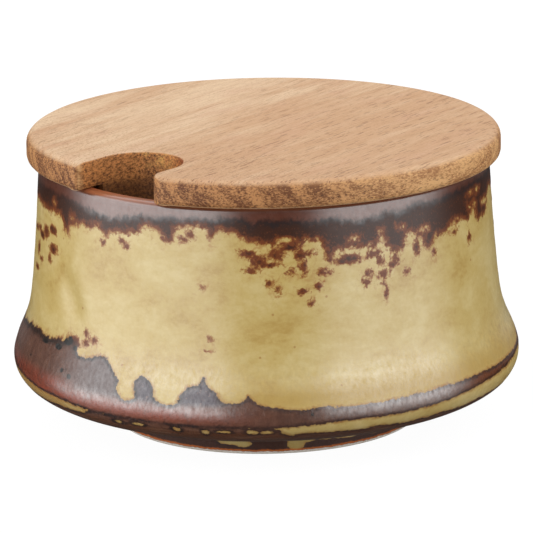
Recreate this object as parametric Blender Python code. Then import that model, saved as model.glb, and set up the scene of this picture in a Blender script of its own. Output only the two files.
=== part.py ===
"""A stoneware sugar bowl with a loose teak lid.

Units are metres and +Z is up. The origin is the middle of the foot ring's flat
underside, on the surface that the bowl stands on. The lid's spoon notch opens
towards -Y, and the lid lifts straight up along +Z.
"""
import math

import bmesh
import bpy
from mathutils import Vector

# Shared
SEGMENTS = 72                 # facets round every turned piece
GAP = 0.0003                  # clearance kept between the lid and the rim
SHARP_ANGLE = math.radians(35)
OUTER_STEPS = 3               # straight steps in each span of the wall's outer curve
INNER_STEPS = 2               # and of its inner curve

# Bowl, outside
RIM_TOP = 0.0597              # height of the rim that the lid rests on
RIM_RADIUS = 0.0504           # outer radius at the rim
WAIST = Vector((0.0517, 0.0400))        # (radius, height) where the wall starts to flare
SHOULDER = Vector((0.0532, 0.0271))
HIP = Vector((0.0561, 0.0192))
BELLY = Vector((0.0570, 0.0150))        # the widest place
BELLY_UNDER = Vector((0.0557, 0.0112))
TUCK = Vector((0.0520, 0.0084))
CREASE = Vector((0.0460, 0.0065))       # where the turned underside begins
RIM_EDGE = 0.0012             # rounding of the rim's two corners

# Bowl, inside
MOUTH_RADIUS = 0.0464
INNER_NECK = Vector((0.0474, 0.0400))
INNER_SHOULDER = Vector((0.0486, 0.0300))
INNER_HIP = Vector((0.0506, 0.0232))
INNER_BELLY = Vector((0.0513, 0.0180))
INNER_TURN = Vector((0.0480, 0.0134))
FLOOR_EDGE = Vector((0.0390, 0.0110))
FLOOR_CENTRE = Vector((0.0, 0.0104))

# Foot ring
FOOT_RADIUS = 0.0345
FOOT_INNER_RADIUS = 0.0305
FOOT_EDGE = 0.0006            # rounding of the ring's two bottom corners
FOOT_FILLET = 0.0012          # fillet between the ring and the underside
UNDERSIDE = 0.0060            # height of the underside just outside the ring
RECESS = 0.0045               # height of the recessed base inside the ring

# Lid
LID_RADIUS = 0.0530
LID_THICKNESS = 0.0060
LID_TOP_EDGE = 0.0023         # rounding of the upper edge
LID_BOTTOM_EDGE = 0.0012
PLUG_CLEARANCE = 0.0020       # radial play between the plug and the mouth
PLUG_DEPTH = 0.0062
PLUG_EDGE = 0.0008

# Spoon notch, cut right through the lid and its plug
NOTCH_RADIUS = 0.0095         # half the notch's width, and the radius of its round end
NOTCH_CENTRE = 0.0420         # distance of the round end's centre from the lid's axis
NOTCH_CORNER_RIGHT = 0.0045   # rounding of the mouth's +X corner
NOTCH_CORNER_LEFT = 0.0010    # rounding of the mouth's -X corner
CUTTER_REACH = 0.0620         # how far from the axis the cutter runs
CUTTER_OVERSHOOT = 0.0020     # how far the cutter passes the lid's faces and edge arcs


def clear_scene():
    for obj in list(bpy.data.objects):
        bpy.data.objects.remove(obj, do_unlink=True)


def material(name, colour, roughness):
    mat = bpy.data.materials.new(name)
    mat.use_nodes = True
    shader = mat.node_tree.nodes["Principled BSDF"]
    shader.inputs["Base Color"].default_value = (*colour, 1.0)
    shader.inputs["Roughness"].default_value = roughness
    shader.inputs["Metallic"].default_value = 0.0
    mat.diffuse_color = (*colour, 1.0)
    return mat


def arc(centre, radius, start, end, steps):
    """Points on a circle, from one angle in degrees to another."""
    points = []
    for i in range(steps + 1):
        angle = math.radians(start + (end - start) * i / steps)
        points.append(centre + radius * Vector((math.cos(angle), math.sin(angle))))
    return points


def flowing(knots, steps):
    """A smooth line through the knots: a Catmull-Rom curve with so many steps in each span."""
    padded = [2 * knots[0] - knots[1], *knots, 2 * knots[-1] - knots[-2]]
    points = [knots[0]]
    for before, start, end, after in zip(padded, padded[1:], padded[2:], padded[3:]):
        for i in range(1, steps + 1):
            t = i / steps
            points.append(0.5 * (
                2 * start
                + (end - before) * t
                + (2 * before - 5 * start + 4 * end - after) * t ** 2
                + (3 * start - before - 3 * end + after) * t ** 3))
    return points


def new_object(name, bm, mat, location):
    bmesh.ops.recalc_face_normals(bm, faces=bm.faces)
    mesh = bpy.data.meshes.new(name)
    bm.to_mesh(mesh)
    bm.free()
    mesh.materials.append(mat)
    mesh.shade_smooth()
    mesh.set_sharp_from_angle(angle=SHARP_ANGLE)
    obj = bpy.data.objects.new(name, mesh)
    obj.location = location
    bpy.context.scene.collection.objects.link(obj)
    return obj


def turned(name, outline, mat, location=(0, 0, 0)):
    """A solid of revolution about Z. The outline of (radius, height) starts and ends on the axis."""
    bm = bmesh.new()
    verts = [bm.verts.new((point.x, 0, point.y)) for point in outline]
    edges = [bm.edges.new(pair) for pair in zip(verts, verts[1:])]
    bmesh.ops.spin(bm, geom=verts + edges, cent=(0, 0, 0), axis=(0, 0, 1),
                   angle=math.tau, steps=SEGMENTS, use_merge=True)
    bmesh.ops.remove_doubles(bm, verts=bm.verts, dist=1e-6)
    return new_object(name, bm, mat, location)


def extruded(name, outline, bottom, top, mat, location):
    """A prism with a flat outline, from one height to another."""
    bm = bmesh.new()
    base = bm.faces.new([bm.verts.new((point.x, point.y, bottom)) for point in outline])
    grown = bmesh.ops.extrude_face_region(bm, geom=[base])
    moved = [item for item in grown["geom"] if isinstance(item, bmesh.types.BMVert)]
    bmesh.ops.translate(bm, verts=moved, vec=(0, 0, top - bottom))
    return new_object(name, bm, mat, location)


def bowl_outline():
    """From the middle of the base, out over the foot and the wall, and back inside to the floor."""
    axis_bottom = Vector((0, RECESS))
    recess_corner = Vector((FOOT_INNER_RADIUS, RECESS))
    foot_inner = arc(Vector((FOOT_INNER_RADIUS + FOOT_EDGE, FOOT_EDGE)), FOOT_EDGE, 180, 270, 2)
    foot_outer = arc(Vector((FOOT_RADIUS - FOOT_EDGE, FOOT_EDGE)), FOOT_EDGE, 270, 360, 2)
    fillet = arc(Vector((FOOT_RADIUS + FOOT_FILLET, UNDERSIDE - FOOT_FILLET)),
                 FOOT_FILLET, 180, 90, 3)
    rim_start = Vector((RIM_RADIUS, RIM_TOP - RIM_EDGE))
    outside = flowing([CREASE, TUCK, BELLY_UNDER, BELLY, HIP, SHOULDER, WAIST, rim_start],
                      OUTER_STEPS)
    rim_outer = arc(Vector((RIM_RADIUS - RIM_EDGE, RIM_TOP - RIM_EDGE)), RIM_EDGE, 0, 90, 3)
    rim_inner = arc(Vector((MOUTH_RADIUS + RIM_EDGE, RIM_TOP - RIM_EDGE)), RIM_EDGE, 90, 180, 3)
    neck_top = Vector((MOUTH_RADIUS, RIM_TOP - RIM_EDGE))
    inside = flowing([neck_top, INNER_NECK, INNER_SHOULDER, INNER_HIP, INNER_BELLY,
                      INNER_TURN, FLOOR_EDGE, FLOOR_CENTRE], INNER_STEPS)
    return [axis_bottom, recess_corner, *foot_inner, *foot_outer, *fillet,
            *outside, *rim_outer[1:], *rim_inner, *inside[1:]]


def lid_outline():
    """The disc and the plug under it. Height 0 is the disc's underside."""
    plug_radius = MOUTH_RADIUS - PLUG_CLEARANCE
    plug_edge = arc(Vector((plug_radius - PLUG_EDGE, PLUG_EDGE - PLUG_DEPTH)),
                    PLUG_EDGE, 270, 360, 2)
    lower_edge = arc(Vector((LID_RADIUS - LID_BOTTOM_EDGE, LID_BOTTOM_EDGE)),
                     LID_BOTTOM_EDGE, 270, 360, 3)
    upper_edge = arc(Vector((LID_RADIUS - LID_TOP_EDGE, LID_THICKNESS - LID_TOP_EDGE)),
                     LID_TOP_EDGE, 0, 90, 5)
    return [Vector((0, -PLUG_DEPTH)), *plug_edge, Vector((plug_radius, 0)),
            *lower_edge, *upper_edge, Vector((0, LID_THICKNESS))]


def mouth_corner(rounding):
    """The notch's +X wall where it rounds into the lid's edge, going outwards."""
    across = NOTCH_RADIUS + rounding
    reach = LID_RADIUS - rounding + GAP
    centre = Vector((across, -math.sqrt(reach ** 2 - across ** 2)))
    leaving = math.degrees(math.atan2(centre.y, centre.x))
    points = arc(centre, rounding, -180, leaving, 6)
    return [*points, points[-1].normalized() * CUTTER_REACH]


def notch_outline():
    """The notch seen from above: a round inner end, two straight walls and a rounded mouth."""
    round_end = arc(Vector((0, -NOTCH_CENTRE)), NOTCH_RADIUS, 0, 180, 16)
    right = mouth_corner(NOTCH_CORNER_RIGHT)
    left = [Vector((-point.x, point.y)) for point in mouth_corner(NOTCH_CORNER_LEFT)]
    return [*reversed(right), *round_end, *left]


def build_bowl():
    glaze = material("glazed_stoneware", (0.62, 0.47, 0.25), 0.35)
    return turned("bowl", bowl_outline(), glaze)


def build_lid(bowl):
    teak = material("teak", (0.60, 0.38, 0.20), 0.6)
    seat = (0, 0, RIM_TOP + GAP)
    lid = turned("lid", lid_outline(), teak, seat)
    lid.parent = bowl
    cutter = extruded("notch_cutter", notch_outline(), -PLUG_DEPTH - CUTTER_OVERSHOOT,
                      LID_THICKNESS + CUTTER_OVERSHOOT, teak, seat)
    cutter.parent = bowl
    cutter.hide_render = True
    cutter.display_type = "WIRE"
    cut = lid.modifiers.new("spoon_notch", "BOOLEAN")
    cut.operation = "DIFFERENCE"
    cut.object = cutter
    return lid


def main():
    clear_scene()
    bowl = build_bowl()
    build_lid(bowl)


main()
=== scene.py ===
"""Looks of a stoneware sugar bowl with a teak lid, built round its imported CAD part.

The shape functions work in millimetres and in degrees round the bowl. Degrees are counted from
the lid's spoon notch (-Y) towards +X. "down" is the distance in mm down the outside of the wall
from the top of the rim, and it is negative inside the bowl.
"""
import math
from functools import partial, reduce

import bpy
import numpy as np
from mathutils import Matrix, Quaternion, Vector


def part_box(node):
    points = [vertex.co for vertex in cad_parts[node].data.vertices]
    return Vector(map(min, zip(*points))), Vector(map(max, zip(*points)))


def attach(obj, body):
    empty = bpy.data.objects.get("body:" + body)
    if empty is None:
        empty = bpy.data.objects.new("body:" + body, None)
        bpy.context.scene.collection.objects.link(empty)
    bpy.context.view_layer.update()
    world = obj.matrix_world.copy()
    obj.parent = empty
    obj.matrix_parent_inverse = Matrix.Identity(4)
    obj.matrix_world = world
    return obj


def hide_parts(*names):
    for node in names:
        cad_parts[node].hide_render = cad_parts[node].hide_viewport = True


MM = 0.001

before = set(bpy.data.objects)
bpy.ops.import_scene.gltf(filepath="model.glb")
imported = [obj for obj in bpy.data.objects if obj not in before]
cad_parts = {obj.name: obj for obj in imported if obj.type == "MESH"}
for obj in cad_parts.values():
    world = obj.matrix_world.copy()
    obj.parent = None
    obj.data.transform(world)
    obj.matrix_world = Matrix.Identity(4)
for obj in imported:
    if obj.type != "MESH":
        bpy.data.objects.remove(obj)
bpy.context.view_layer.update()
_, bowl_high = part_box("bowl")
_, lid_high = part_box("lid")

# ---- sizes, the same as the CAD's
RIM_TOP = bowl_high.z / MM
RIM_RADIUS = 50.4
RIM_EDGE = 1.2
MOUTH_RADIUS = 46.4
OUTER_KNOTS = [(46.0, 6.5), (52.0, 8.4), (55.7, 11.2), (57.0, 15.0), (56.1, 19.2),
               (53.2, 27.1), (51.7, 40.0), (RIM_RADIUS, RIM_TOP - RIM_EDGE)]
INNER_KNOTS = [(MOUTH_RADIUS, RIM_TOP - RIM_EDGE), (47.4, 40.0), (48.6, 30.0), (50.6, 23.2),
               (51.3, 18.0), (48.0, 13.4), (39.0, 11.0), (0.0, 10.4)]
FOOT_RADIUS = 34.5
FOOT_INNER_RADIUS = 30.5
FOOT_EDGE = 0.6
FOOT_FILLET = 1.2
UNDERSIDE = 6.0
RECESS = 4.5

LID_RADIUS = 53.0
LID_THICKNESS = 6.0
LID_TOP = lid_high.z / MM
SEAT = LID_TOP - LID_THICKNESS          # height of the disc's underside
LID_TOP_EDGE = 2.3
LID_BOTTOM_EDGE = 1.2
PLUG_RADIUS = 44.4
PLUG_DEPTH = 6.2
PLUG_EDGE = 0.8
NOTCH_RADIUS = 9.5
NOTCH_CENTRE = 42.0
NOTCH_CORNER_RIGHT = 4.5
NOTCH_CORNER_LEFT = 1.0
NOTCH_EDGE = 0.5               # rounding of the notch's edges above, and on the plug
RIM_EDGE_GROWTH = 0.7          # how much wider that rounding gets along the lid's rim
CHAMFER_WIDTH = 0.2            # the notch's small lower edge, outside the plug
CHAMFER_HEIGHT = 0.15
GRAIN_LEAN = 5.0               # degrees between the wood's grain and the Y axis
SHARP_ANGLE = math.radians(40)

LID_STEPS = 330                # points round the lid's edge
ROUND_STEPS = 24               # points round the notch's end
WALL_STEPS = 5                 # points along a notch wall, outside the plug
MIDDLE_CIRCLE = 28.0           # radius where the lid's faces turn into plain rings
CORNER_HEADING = 30            # degrees on that circle that the notch's mouth corners face
ROUND_HEADING = 24             # and that the ends of its round end face
COLUMNS = 640                  # points round the bowl
WALL_STEP = 0.36               # mm between the rows of the outside wall
INNER_STEP = 1.6               # and of the inside wall
MM_PER_DEGREE = math.radians(52.0)      # at the wall's middle radius
DENT_DEGREES, DENT_DOWN = -15.5, 25.0
DARK_GLAZE_THICKNESS = 0.08             # that it stands proud of the ochre glaze
FAR = 8.0                      # mm from a glaze's edge past which the distance no longer counts

OUTSIDE, INSIDE, CLAY = 0, 1, 2         # material slots of the bowl
FAR_INSIDE, FAR_DOWN = -200.0, 100.0    # attributes in the middle of the floor and of the base


# ---- curves
def flowing(knots, steps):
    """A Catmull-Rom curve through the knots, with so many steps in each span."""
    k = np.asarray(knots, float)
    padded = np.vstack([2 * k[0] - k[1], k, 2 * k[-1] - k[-2]])
    points = [k[0]]
    for before, start, end, after in zip(padded, padded[1:], padded[2:], padded[3:]):
        for i in range(1, steps + 1):
            t = i / steps
            points.append(0.5 * (2 * start + (end - before) * t
                                 + (2 * before - 5 * start + 4 * end - after) * t ** 2
                                 + (3 * start - before - 3 * end + after) * t ** 3))
    return np.array(points)


def arc(centre, radius, start, end, steps):
    angles = np.radians(np.linspace(start, end, steps + 1))
    return np.stack([centre[0] + radius * np.cos(angles),
                     centre[1] + radius * np.sin(angles)], -1)


def towards(degrees):
    """Unit vectors (x, y) at so many degrees round the object."""
    turn = np.radians(degrees)
    return np.stack([np.sin(turn), -np.cos(turn)], -1)


def lengths(points):
    """Distance along a line, at each of its points."""
    return np.concatenate([[0], np.cumsum(np.hypot(*np.diff(points, axis=0).T))])


def evenly(points, step):
    """The same line with points about one step apart."""
    along = lengths(points)
    places = np.linspace(0, along[-1], max(2, round(along[-1] / step) + 1))
    return np.stack([np.interp(places, along, points[:, i]) for i in (0, 1)], -1)


def smooth(low, high, value):
    """0 below low, 1 above high, and smooth in between."""
    t = np.clip((value - low) / (high - low), 0, 1)
    return t * t * (3 - 2 * t)


def between(value, start, top, fall, end):
    """1 from top to fall, 0 before start and past end, and smooth in between."""
    return smooth(start, top, value) * smooth(end, fall, value)


def bump(value, centre, width):
    return np.exp(-((value - centre) / width) ** 2)


# ---- glaze lines, (degrees, mm down)
# The front, from -48 to 122 degrees, drawn point by point.
UPPER_EDGE = [
    (-48, 8.6), (-44, 8.6), (-40, 7.9), (-36, 8.2), (-30, 8.3), (-25, 8.0), (-21, 8.4),
    (-19.5, 10.2), (-17.5, 11.6), (-16.4, 9.4), (-14, 9.0), (-12, 8.3), (-8, 8.3), (-6, 7.7),
    (-3, 9.5), (-1, 8.8), (2, 8.4), (5, 7.8), (7.5, 7.5), (9, 6.3), (12, 6.2), (15.5, 8.7),
    (17, 8.3), (18, 6.0), (20, 4.9), (25.5, 5.2), (26.5, 8.0), (28, 6.0), (32, 6.0), (34, 7.0),
    (38, 8.5), (42, 8.4), (45, 9.2), (48, 9.2), (50, 8.0), (53, 8.0), (54.2, 9.0), (54.9, 12.0),
    (56, 12.8), (57.3, 11.4), (59, 10.6), (66, 10.3), (68, 11.3), (69.5, 7.6), (70.6, 10.4),
    (73, 12.7), (75.5, 12.5), (77, 10.0), (79.5, 9.5), (81.4, 10.4), (83.5, 13.5), (85.2, 13.2),
    (87, 11.2), (90, 11.3), (93, 9.5), (96, 10.1), (98, 9.3), (101, 10.2), (104, 8.3),
    (107, 11.2), (109, 11.4), (113, 11.0), (116, 8.2), (119, 6.4), (122, 6.8)]
RIM_LINE = [
    (-48, 4.8), (-40, 4.6), (-25, 3.9), (-12, 4.3), (-1, 5.4), (8, 4.0), (20, 3.5), (34, 3.2),
    (37, 4.6), (39.5, 3.5), (43, 3.9), (46, 3.5), (52, 4.2), (57, 3.8), (63, 4.6), (68, 4.4),
    (72, 3.6), (75, 4.2), (80, 3.1), (85, 3.6), (100, 2.9), (122, 2.8)]
LOWER_EDGE = [
    (-48, 37.0), (-45, 37.0), (-42, 36.3), (-38, 36.3), (-36.6, 35.4), (-34, 35.8), (-29, 35.3),
    (-25, 35.9), (-21, 35.6), (-18, 34.9), (-16, 34.9), (-14, 33.4), (-12, 33.0), (-10.4, 33.6),
    (-9.6, 34.6), (-10.2, 36.0), (-8.8, 37.2), (-6, 37.0), (-4, 36.6), (-2, 35.9), (1, 37.0),
    (3.2, 39.2), (4.7, 40.6), (4.6, 42.0), (6, 44.0), (8, 44.3), (9.6, 43.5), (8.9, 41.4),
    (8.8, 40.1), (10.5, 38.7), (13.2, 39.9), (14.1, 41.6), (14.3, 43.0), (16, 44.0), (17.5, 44.3),
    (19.8, 43.6), (20.8, 41.6), (22.5, 39.9), (24.4, 39.3), (25.6, 37.7), (26.8, 39.3),
    (29, 41.2), (30, 42.6), (32, 43.0), (34.5, 42.7), (35.9, 41.4), (37.2, 42.5), (40, 43.8),
    (48, 44.7), (52, 44.0), (55, 44.5), (61, 44.6), (70, 44.4), (83, 44.0), (88, 44.0),
    (100, 43.8), (122, 43.6)]
STRIPE_TOP = [
    (-48, 46.5), (-40, 46.7), (-30, 47.1), (-26, 47.4), (-22, 47.8), (-14, 47.9), (-6, 48.6),
    (0, 48.8), (21, 49.0), (35, 48.8), (41, 48.9), (50, 48.3), (60, 47.8), (68, 48.0),
    (84, 47.4), (90, 46.8), (100, 46.1), (110, 45.5), (122, 44.7)]
STRIPE_BOTTOM = [
    (-48, 52.4), (-40, 51.8), (-30, 51.0), (-20, 50.4), (-10, 50.2), (-6, 49.8), (-4, 48.8),
    (0, 48.4), (20, 48.4), (38, 48.4), (42.5, 49.0), (43.5, 50.5), (46, 51.5), (47, 50.8),
    (55, 50.9), (63, 51.1), (65, 50.6), (73, 51.4), (77, 50.8), (80, 51.2), (83, 50.5), (90, 51.0),
    (95, 50.5), (105, 50.2), (115, 51.2), (122, 52.0)]

# Spots of dark glaze: (degrees, mm down, half width in degrees, half height in mm)
BLOBS = [
    (-26, 12.2, 1.8, 0.8), (-30.5, 13.3, 2.2, 1.1), (-34, 14.9, 2.5, 0.7), (-37, 14, 1.2, 0.7),
    (-41, 14.5, 2.0, 0.6), (-25.2, 16.4, 2.3, 0.9), (-27.3, 18.7, 0.8, 0.7),
    (-37, 18.2, 1.2, 1.2), (-33.5, 20.3, 1.2, 0.4), (-38, 23, 1.5, 0.4),
    (-3.5, 11.1, 0.4, 0.3), (3, 9.9, 0.6, 0.35), (4.1, 10.9, 0.3, 0.25), (15.5, 8, 1.5, 0.7),
    (19.5, 7.9, 1.0, 0.5), (21.5, 6.8, 0.8, 0.6), (24.8, 18.2, 0.2, 0.15),
    (36, 10.5, 1.6, 0.8), (38.5, 12, 1.8, 1.1), (42.7, 10.8, 1.7, 1.2), (41, 13, 2.0, 0.5),
    (37, 14.1, 1.2, 0.6), (46, 9.2, 3.0, 0.8), (48.7, 11, 1.0, 0.9), (49.3, 13.5, 0.8, 1.4),
    (46.7, 14.5, 0.9, 0.7), (41, 17, 0.6, 0.6), (43.2, 18.5, 0.5, 0.6), (49.3, 19, 0.6, 0.4),
    (51, 10.8, 1.0, 0.6), (54, 15, 1.2, 0.5), (53, 18, 0.7, 0.6), (51, 21.6, 0.4, 0.4),
    (60.5, 12.8, 3.4, 1.0), (67, 12.5, 2.0, 0.6), (69, 13.8, 1.2, 0.9), (73.5, 14.1, 0.9, 0.5),
    (80, 12.5, 0.9, 1.6), (65.5, 16.7, 0.8, 0.8), (64.7, 18.2, 0.7, 0.7), (70, 17, 1.1, 0.6),
    (72.3, 15.2, 0.8, 0.3), (68.5, 18.9, 0.8, 0.4), (70.4, 21, 0.35, 0.8),
    (76.8, 17.5, 0.8, 0.35), (85.8, 14.7, 0.5, 0.6), (94, 11.7, 1.0, 0.4),
    (101.2, 14.4, 0.8, 0.9), (-7.5, 34.2, 0.9, 0.5), (-5, 33.1, 1.0, 0.6), (-8, 32, 0.3, 0.3),
    (26.5, 32, 0.6, 0.12), (26.6, 29, 0.2, 0.15)]
# Windows in the dark glaze where the yellow shows through
HOLES = [
    (10, 6.5, 0.8, 0.8), (45, 7.7, 1.8, 0.5), (43.4, 8.2, 0.6, 0.5), (57.6, 12, 1.0, 0.6),
    (62.5, 8.6, 1.0, 0.5), (69.5, 9.5, 0.8, 1.4), (78, 10.5, 1.6, 1.6), (82.5, 9.1, 1.3, 0.6),
    (94.5, 9.8, 1.5, 0.9), (102.5, 7.5, 0.9, 0.6), (105, 7.4, 0.9, 0.4), (103, 4.5, 1.0, 0.4),
    (107.5, 4.6, 0.8, 0.4), (112.5, 8.3, 2.0, 0.7), (75.5, 7.5, 0.6, 0.4),
    (-16, 7.5, 0.5, 0.5), (-25.5, 5.9, 0.5, 0.4),
    (4.7, 50.2, 1.2, 0.5), (10, 49.9, 1.6, 0.45), (19.5, 50, 0.9, 0.5), (26.2, 50.3, 0.7, 0.7),
    (30.5, 50, 1.4, 0.4), (36.7, 50, 1.3, 0.7), (40, 50, 1.2, 0.5)]
# Nearly black drops in the dark glaze low down
DROPS = [
    (-14.2, 34.7, 2.0, 1.1), (-17.5, 36.8, 1.4, 0.7), (-10.8, 35.9, 0.8, 0.6),
    (-24, 37.0, 1.6, 0.5), (-13.5, 41.4, 0.6, 0.5), (-10.4, 42.2, 0.8, 0.6),
    (-12, 41, 0.3, 0.3), (-29, 41.5, 0.5, 0.3), (49.8, 45.7, 0.3, 0.8)]

# Ochre patches on the foot ring: (degrees, height, half width in degrees, half height in mm)
FOOT_PATCHES = [
    (27, 3.1, 6.0, 1.1), (31, 2.4, 3.0, 0.8), (50.5, 2.5, 3.4, 1.7), (54, 3.4, 5.0, 1.0),
    (62, 3.5, 6.0, 0.9), (72, 3.3, 8.0, 1.1), (84, 3.2, 8.0, 1.3), (96, 3.3, 7.0, 1.1),
    (-34, 3.6, 6.0, 1.3), (-80, 4.2, 9.0, 1.3), (-118, 3.0, 4.0, 1.4), (-152, 4.0, 8.0, 1.2),
    (128, 3.2, 5.0, 1.6), (160, 4.2, 7.0, 1.0)]

BACK_START, BACK_END = 128, 306         # the side that turns away, where the pattern goes on


def back_line(rng, start, end, level, swing, spacing):
    """Knots that carry a glaze line on round the back, wandering about one level."""
    steps = spacing * rng.uniform(0.45, 1.9, int(2 * (BACK_END - BACK_START) / spacing))
    places = BACK_START + np.cumsum(steps)
    places = places[places < BACK_END]
    strength = 0.35 + 0.65 * rng.uniform(0, 1, len(places))
    wander = swing * strength * rng.uniform(-1.2, 1.2, len(places))
    knots = [(a, level + w) for a, w in zip(places, wander)]
    knots[0] = (knots[0][0], 0.5 * (start + knots[0][1]))
    knots[-1] = (knots[-1][0], 0.5 * (end + knots[-1][1]))
    return knots


def closed_line(front, rng, level, swing, spacing):
    """The whole line round the bowl, and a bit more at both ends, in mm: (round, down)."""
    back = back_line(rng, front[-1][1], front[0][1], level, swing, spacing)
    whole = front + back
    before = [(a - 360, s) for a, s in whole if a > 150]
    after = [(a + 360, s) for a, s in whole if a < -20]
    points = flowing(before + whole + after, 5)
    points[:, 0] *= MM_PER_DEGREE
    return points


def distance_to_line(u, v, line):
    """Distance in mm from each point (u, v) to a line of short segments."""
    best = np.full(u.shape, 1e9)
    for (ax, ay), (bx, by) in zip(line, line[1:]):
        near = np.abs(u - 0.5 * (ax + bx)) < FAR
        if not near.any():
            continue
        du, dv = bx - ax, by - ay
        t = ((u[near] - ax) * du + (v[near] - ay) * dv) / max(du * du + dv * dv, 1e-12)
        t = np.clip(t, 0, 1)
        away = np.hypot(u[near] - ax - t * du, v[near] - ay - t * dv)
        best[near] = np.minimum(best[near], away)
    return best


def below_line(u, v, line):
    """True where a point lies under the line, counting the segments above it."""
    crossings = np.zeros(u.shape, int)
    for (ax, ay), (bx, by) in zip(line, line[1:]):
        low, high = min(ax, bx), max(ax, bx)
        within = (u >= low) & (u < high)
        if not within.any():
            continue
        height = ay + (u[within] - ax) * (by - ay) / (bx - ax)
        crossings[within] += (v[within] > height)
    return crossings % 2 == 1


def under(u, v, line):
    """Signed distance in mm: positive below the line."""
    away = np.minimum(distance_to_line(u, v, line), FAR)
    return np.where(below_line(u, v, line), away, -away)


def spots(u, v, places):
    """Signed distance in mm into the nearest of many oval spots."""
    best = np.full(u.shape, -FAR)
    for degrees, down, half_degrees, half_down in places:
        a, b = half_degrees * MM_PER_DEGREE, half_down
        reach = np.hypot((u - degrees * MM_PER_DEGREE) / a, (v - down) / b)
        best = np.maximum(best, (1 - reach) * min(a, b) * (0.6 + 0.4 * max(a, b) / min(a, b)))
    return best


# ---- the bowl's outline
def outside_line():
    """(radius, height) from the top of the rim down to the crease under the belly."""
    wall = flowing(OUTER_KNOTS, 40)[::-1]
    edge = arc((RIM_RADIUS - RIM_EDGE, RIM_TOP - RIM_EDGE), RIM_EDGE, 90, 0, 8)
    return np.vstack([edge[:-1], wall])


def bowl_rows():
    """Rows from the middle of the floor inside, over the rim and down to the middle of the base.

    Each row has a radius, a height, mm down the outside, and the material slot below it."""
    inner = evenly(flowing(INNER_KNOTS, 20), INNER_STEP)
    inner_edge = arc((MOUTH_RADIUS + RIM_EDGE, RIM_TOP - RIM_EDGE), RIM_EDGE, 180, 90, 6)
    inside = np.vstack([inner[::-1][1:-1], inner_edge])
    rim_top = np.array([((MOUTH_RADIUS + RIM_RADIUS) / 2, RIM_TOP)])
    outside = evenly(outside_line(), WALL_STEP)
    fillet = arc((FOOT_RADIUS + FOOT_FILLET, UNDERSIDE - FOOT_FILLET), FOOT_FILLET, 90, 180, 5)
    bottom = np.vstack([
        [(43.6, 6.36), (41.2, 6.24), (38.6, 6.12)], fillet,
        [(FOOT_RADIUS, z) for z in (4.0, 3.3, 2.7, 2.2, 1.8, 1.5, 1.2, 0.9)]])
    clay = np.vstack([
        arc((FOOT_RADIUS - FOOT_EDGE, FOOT_EDGE), FOOT_EDGE, 0, -90, 4),
        [(33.2, 0.0), (31.8, 0.0)],
        arc((FOOT_INNER_RADIUS + FOOT_EDGE, FOOT_EDGE), FOOT_EDGE, -90, -180, 4)])
    base = np.array([(FOOT_INNER_RADIUS, 1.6), (FOOT_INNER_RADIUS, 2.8), (30.4, 3.8),
                     (30.0, 4.3), *[(radius, RECESS) for radius in (29.2, 24, 18, 12, 6)]])
    line = np.vstack([inside, rim_top, outside, bottom, clay, base])
    top_row = len(inside) + 1
    along = lengths(line)
    down = along - along[top_row]
    slots = np.full(len(line), OUTSIDE)
    slots[:len(inside)] = INSIDE
    clay_start = len(line) - len(base) - len(clay)
    slots[clay_start:] = CLAY
    return line, down, slots


# ---- the bowl's relief and glaze
def waves(rng, turns, swing, degrees):
    """A slow uneven wave round the bowl that joins up with itself."""
    total = np.zeros_like(degrees)
    for n in turns:
        total += rng.uniform(-1, 1) * np.sin(np.radians(n * degrees) + rng.uniform(0, math.tau))
    return swing * total


def relief(degrees, down, covered):
    """How far the surface lies inside the outline, in mm: hand-thrown unevenness and glaze."""
    rng = np.random.default_rng(7)
    on_wall = between(down, 1.5, 6, 52, 60)
    inward = 0.06 + waves(rng, (2, 3, 5), 0.03, degrees)
    rings = np.zeros_like(down)
    for period, swing in ((2.3, 0.004), (3.7, 0.007), (6.1, 0.012)):
        phase = waves(rng, (1, 2), 1.2, degrees)
        rings += swing * np.sin(math.tau * down / period + phase)
    inward = inward + rings
    # A shallow slanting dent, with a slight swelling beside it
    across = (degrees - DENT_DEGREES) * MM_PER_DEGREE
    along = down - DENT_DOWN
    slanted = across * 0.80 - along * 0.60
    length = across * 0.60 + along * 0.80
    inward = inward + 0.55 * bump(slanted, 0, 3.2) * bump(length, 1, 5.5)
    inward = inward - 0.10 * bump(slanted, 5.4, 2.6) * bump(length, 0, 9)
    inward = inward - DARK_GLAZE_THICKNESS * smooth(-0.3, 0.6, covered)
    return np.maximum(inward, 0) * on_wall


def wrapped(places):
    """The same places with their degrees brought to between -180 and 180."""
    return [(a - 360 if a > 180 else a, *rest) for a, *rest in places]


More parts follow.
